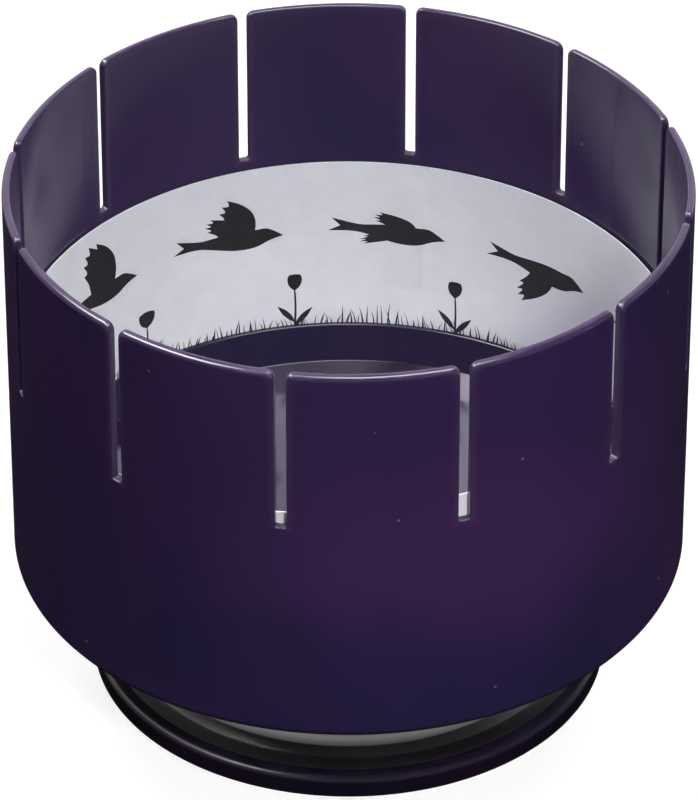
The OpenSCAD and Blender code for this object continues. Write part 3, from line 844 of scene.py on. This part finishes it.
strip.data.materials.append(fibrous(
    "strip card", (0.62, 0.63, 0.67, 1), (0.69, 0.70, 0.74, 1), 0.82, 0.25, 0.08))
ink.data.materials.append(fibrous(
    "charcoal ink", (0.014, 0.013, 0.016, 1), (0.026, 0.025, 0.029, 1), 0.8, 0.15, 0.15))
print("paper pieces:", strip.name, ink.name)

# %% [markdown]
# ## Rubber, matt plastic and metal
# These are seen from below, or when the drum is taken apart. Rubber is matt with a fine grain, the
# hub and the bottom cover have a spark-eroded texture, and the turned metal parts have fine rings
# that run round the axis, which noise over the distance from the axis draws.

# %% Matt mouldings
def matt(name, dark, light, rough, grain, depth, specular=0.4):
    material, tree, shader, place = start_material(name)
    skin = use(tree, "moulded skin", {"Vector": place, "Ripple size": grain, "Patch size": 60.0})
    patches = skin.outputs["Patches"]
    dress(tree, shader, mix_colour(tree, patches, dark, light),
          ramp(tree, patches, 0.3, 0.7, rough - 0.06, rough + 0.06),
          skin.outputs["Height"], depth, 0.15)
    shader.inputs["Specular IOR Level"].default_value = specular
    return material

# %% Turned metal
def metal(name, dark, light, rough):
    material, tree, shader, place = start_material(name)
    split = node(tree, "ShaderNodeSeparateXYZ", {"Vector": place})
    flat = node(tree, "ShaderNodeCombineXYZ", {"X": split.outputs["X"], "Y": split.outputs["Y"]})
    away = node(tree, "ShaderNodeVectorMath", {0: flat.outputs["Vector"]}, operation="LENGTH")
    line = node(tree, "ShaderNodeCombineXYZ", {"X": away.outputs["Value"],
                                               "Z": split.outputs["Z"]})
    marks = noise(tree, line.outputs["Vector"], 2400.0, 2.0)
    skin = use(tree, "moulded skin", {"Vector": place, "Patch size": 120.0})
    dress(tree, shader, mix_colour(tree, skin.outputs["Patches"], dark, light),
          ramp(tree, marks, 0.3, 0.7, rough - 0.07, rough + 0.1), marks, 0.15, 0.05)
    shader.inputs["Metallic"].default_value = 1.0
    return material

# %% Finishes of the working parts
rubber = matt("black rubber", (0.012, 0.012, 0.012, 1), (0.025, 0.025, 0.025, 1),
              0.82, 1400.0, 0.4, 0.3)
for pad in pads:
    pad.data.materials.append(rubber)
looks = {
    "hub": matt("hub plastic", (0.02, 0.02, 0.022, 1), (0.035, 0.035, 0.038, 1), 0.5, 900.0, 0.25),
    "cover": matt("cover plastic", (0.022, 0.022, 0.025, 1), (0.036, 0.036, 0.04, 1),
                  0.62, 1500.0, 0.5),
    "zinc": metal("zinc plated steel", (0.56, 0.58, 0.60, 1), (0.70, 0.71, 0.70, 1), 0.32),
    "bronze": metal("bush bronze", (0.46, 0.30, 0.12, 1), (0.60, 0.42, 0.20, 1), 0.40),
    "ground": metal("ground steel", (0.60, 0.61, 0.63, 1), (0.70, 0.71, 0.72, 1), 0.24),
    "black": metal("blackened steel", (0.05, 0.05, 0.055, 1), (0.09, 0.09, 0.10, 1), 0.38),
    "nylon": matt("nylon", (0.72, 0.70, 0.62, 1), (0.80, 0.78, 0.71, 1), 0.45, 500.0, 0.1),
}
finishes = {
    "hub": "hub", "hub_screws": "zinc", "upper_bush": "bronze", "lower_bush": "bronze",
    "spindle": "ground", "thrust_washer": "nylon", "clip_washer": "zinc",
    "retaining_clip": "black", "spindle_washer": "zinc", "spindle_nut": "zinc",
    "bottom_cover": "cover", "cover_screws": "zinc", "ballast_ring": "ground",
    "ballast_screws": "zinc",
}
for name, finish in finishes.items():
    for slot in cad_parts[name].material_slots:
        slot.material = looks[finish]
print("parts with a finish:", len(finishes))

# %% [markdown]
# ## Floor and background
# The floor is a pale sheet. The camera sees it and the background as white, and the drum's shadow
# stays on it. The gloss of the drum mirrors its surroundings, so mirror rays see other tones: white
# behind, and in front a glow on the horizon that fades upwards into the dark, as if a photographer
# had hung a black cloth there to keep a dark, shiny object dark.

# %% Floor
def mirror_rays(tree, path):
    """1 for a ray that a surface mirrors or lets through, otherwise 0."""
    return maths(tree, "MAXIMUM", path.outputs["Is Glossy Ray"], path.outputs["Is Transmission Ray"])

sheet = bmesh.new()
bmesh.ops.create_grid(sheet, x_segments=1, y_segments=1, size=4.0)
floor_mesh = bpy.data.meshes.new("floor")
sheet.to_mesh(floor_mesh)
sheet.free()
floor = placed("floor", floor_mesh)
floor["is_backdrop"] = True

material, tree, shader, place = start_material("pale floor")
shader.inputs["Roughness"].default_value = 0.9
shader.inputs["Specular IOR Level"].default_value = 0.0
path = node(tree, "ShaderNodeLightPath")
to_camera, mirrored = path.outputs["Is Camera Ray"], mirror_rays(tree, path)
split = node(tree, "ShaderNodeSeparateXYZ", {"Vector": place})
away = node(tree, "ShaderNodeVectorMath", {0: place}, operation="LENGTH")
behind = smooth(tree, split.outputs["Y"], 0.15, 1.0, 0.004, 1.0)
far = smooth(tree, away.outputs["Value"], 0.31, 0.60, 0, 0.35)
in_gloss = maths(tree, "MULTIPLY", mirrored, maths(tree, "MAXIMUM", behind, far))
glow = maths(tree, "MULTIPLY_ADD", to_camera, 0.80, in_gloss)
# To every ray but the camera's the floor is dark, a painted shade as of a black cloth: it throws
# little light back, and the drum's lower wall stays dark.
unseen = mix_colour(tree, mirrored, (0.05, 0.05, 0.05, 1), (0.003, 0.003, 0.003, 1))
colour = mix_colour(tree, to_camera, unseen, (0.22, 0.22, 0.23, 1))
tree.links.new(colour, shader.inputs["Base Color"])
tree.links.new(glow, shader.inputs["Emission Strength"])
shader.inputs["Emission Color"].default_value = (1, 1, 1, 1)
floor.data.materials.append(material)
print("floor ready")

# %% Background
world = bpy.data.worlds.new("studio")
bpy.context.scene.world = world
world.use_nodes = True
tree = world.node_tree
background = tree.nodes["Background"]
path = node(tree, "ShaderNodeLightPath")
direction = node(tree, "ShaderNodeTexCoord").outputs["Generated"]
split = node(tree, "ShaderNodeSeparateXYZ", {"Vector": direction})
back, up = split.outputs["Y"], split.outputs["Z"]
lit = maths(tree, "MULTIPLY", smooth(tree, up, -0.1, 0.9, 0.08, 0.55),
            smooth(tree, back, -0.7, 0.8, 0.25, 1.0))
horizon = maths(tree, "POWER", ramp(tree, up, 0.0, 0.9, 0.78, 0.06), 2.0)
shown = maths(tree, "MAXIMUM", smooth(tree, back, 0.15, 0.6), horizon)
light = mix_value(tree, mirror_rays(tree, path), lit, shown)
whole = mix_value(tree, path.outputs["Is Camera Ray"], light, 1.0)
tree.links.new(whole, background.inputs["Strength"])
background.inputs["Color"].default_value = (1, 1, 1, 1)
print("background ready")

# %% [markdown]
# ## Lamps
# A glossy object is lit in two ways, and each has its own boxes here. Four boxes only give light: a
# key in front, with a grid that narrows its beam to the middle of the drum, two behind for the strip's
# two halves, and one overhead. Two more are only seen in reflections: one above and in front draws the
# bright line on the rim, and one at the left draws the line on the lip of the foot.

# %% Soft boxes
def soft_box(name, place, target, width, height, power, mirrored=True, lights=True, grid=180):
    """A lamp at a place in metres, turned to its target; the grid is its beam's angle in degrees."""
    light = bpy.data.lights.new(name, "AREA")
    light.shape = "RECTANGLE"
    light.size, light.size_y, light.energy = width, height, power
    light.spread = math.radians(grid)
    obj = placed(name, light)
    obj.location = place
    obj.rotation_mode = "QUATERNION"
    obj.rotation_quaternion = (Vector(target) - Vector(place)).to_track_quat("-Z", "Y")
    obj.visible_glossy, obj.visible_diffuse = mirrored, lights
    print(name, "power", power)

drum_middle = (0, 0, 0.1)
soft_box("key box", (0.34, -1.3, 1.2), (0.025, -0.05, 0.06), 0.3, 0.3, 0.46,
         mirrored=False, grid=19)
soft_box("left box", (-0.93, -0.18, 1.23), drum_middle, 1.4, 0.40, 46, lights=False)
soft_box("back left box", (-0.75, 0.6, 1.15), drum_middle, 0.5, 0.5, 19, mirrored=False)
soft_box("back right box", (0.75, 0.6, 1.15), drum_middle, 0.5, 0.5, 11, mirrored=False)
soft_box("top box", (0.1, -0.05, 1.6), drum_middle, 0.8, 0.8, 8, mirrored=False)
soft_box("rim box", (0.25, -0.52, 1.45), (0, 0, 0.14), 1.0, 0.5, 25, lights=False)
bpy.context.scene.view_settings.view_transform = "Standard"

# %% [markdown]
# ## The size
# The last cell prints the box that the shown pieces fill together, the floor left out.
# The pieces made here must stay inside the box of the parts that they stand for.

# %% Sizes and last line
low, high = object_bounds()
print("visual box:", [round(v, 5) for v in low], [round(v, 5) for v in high])
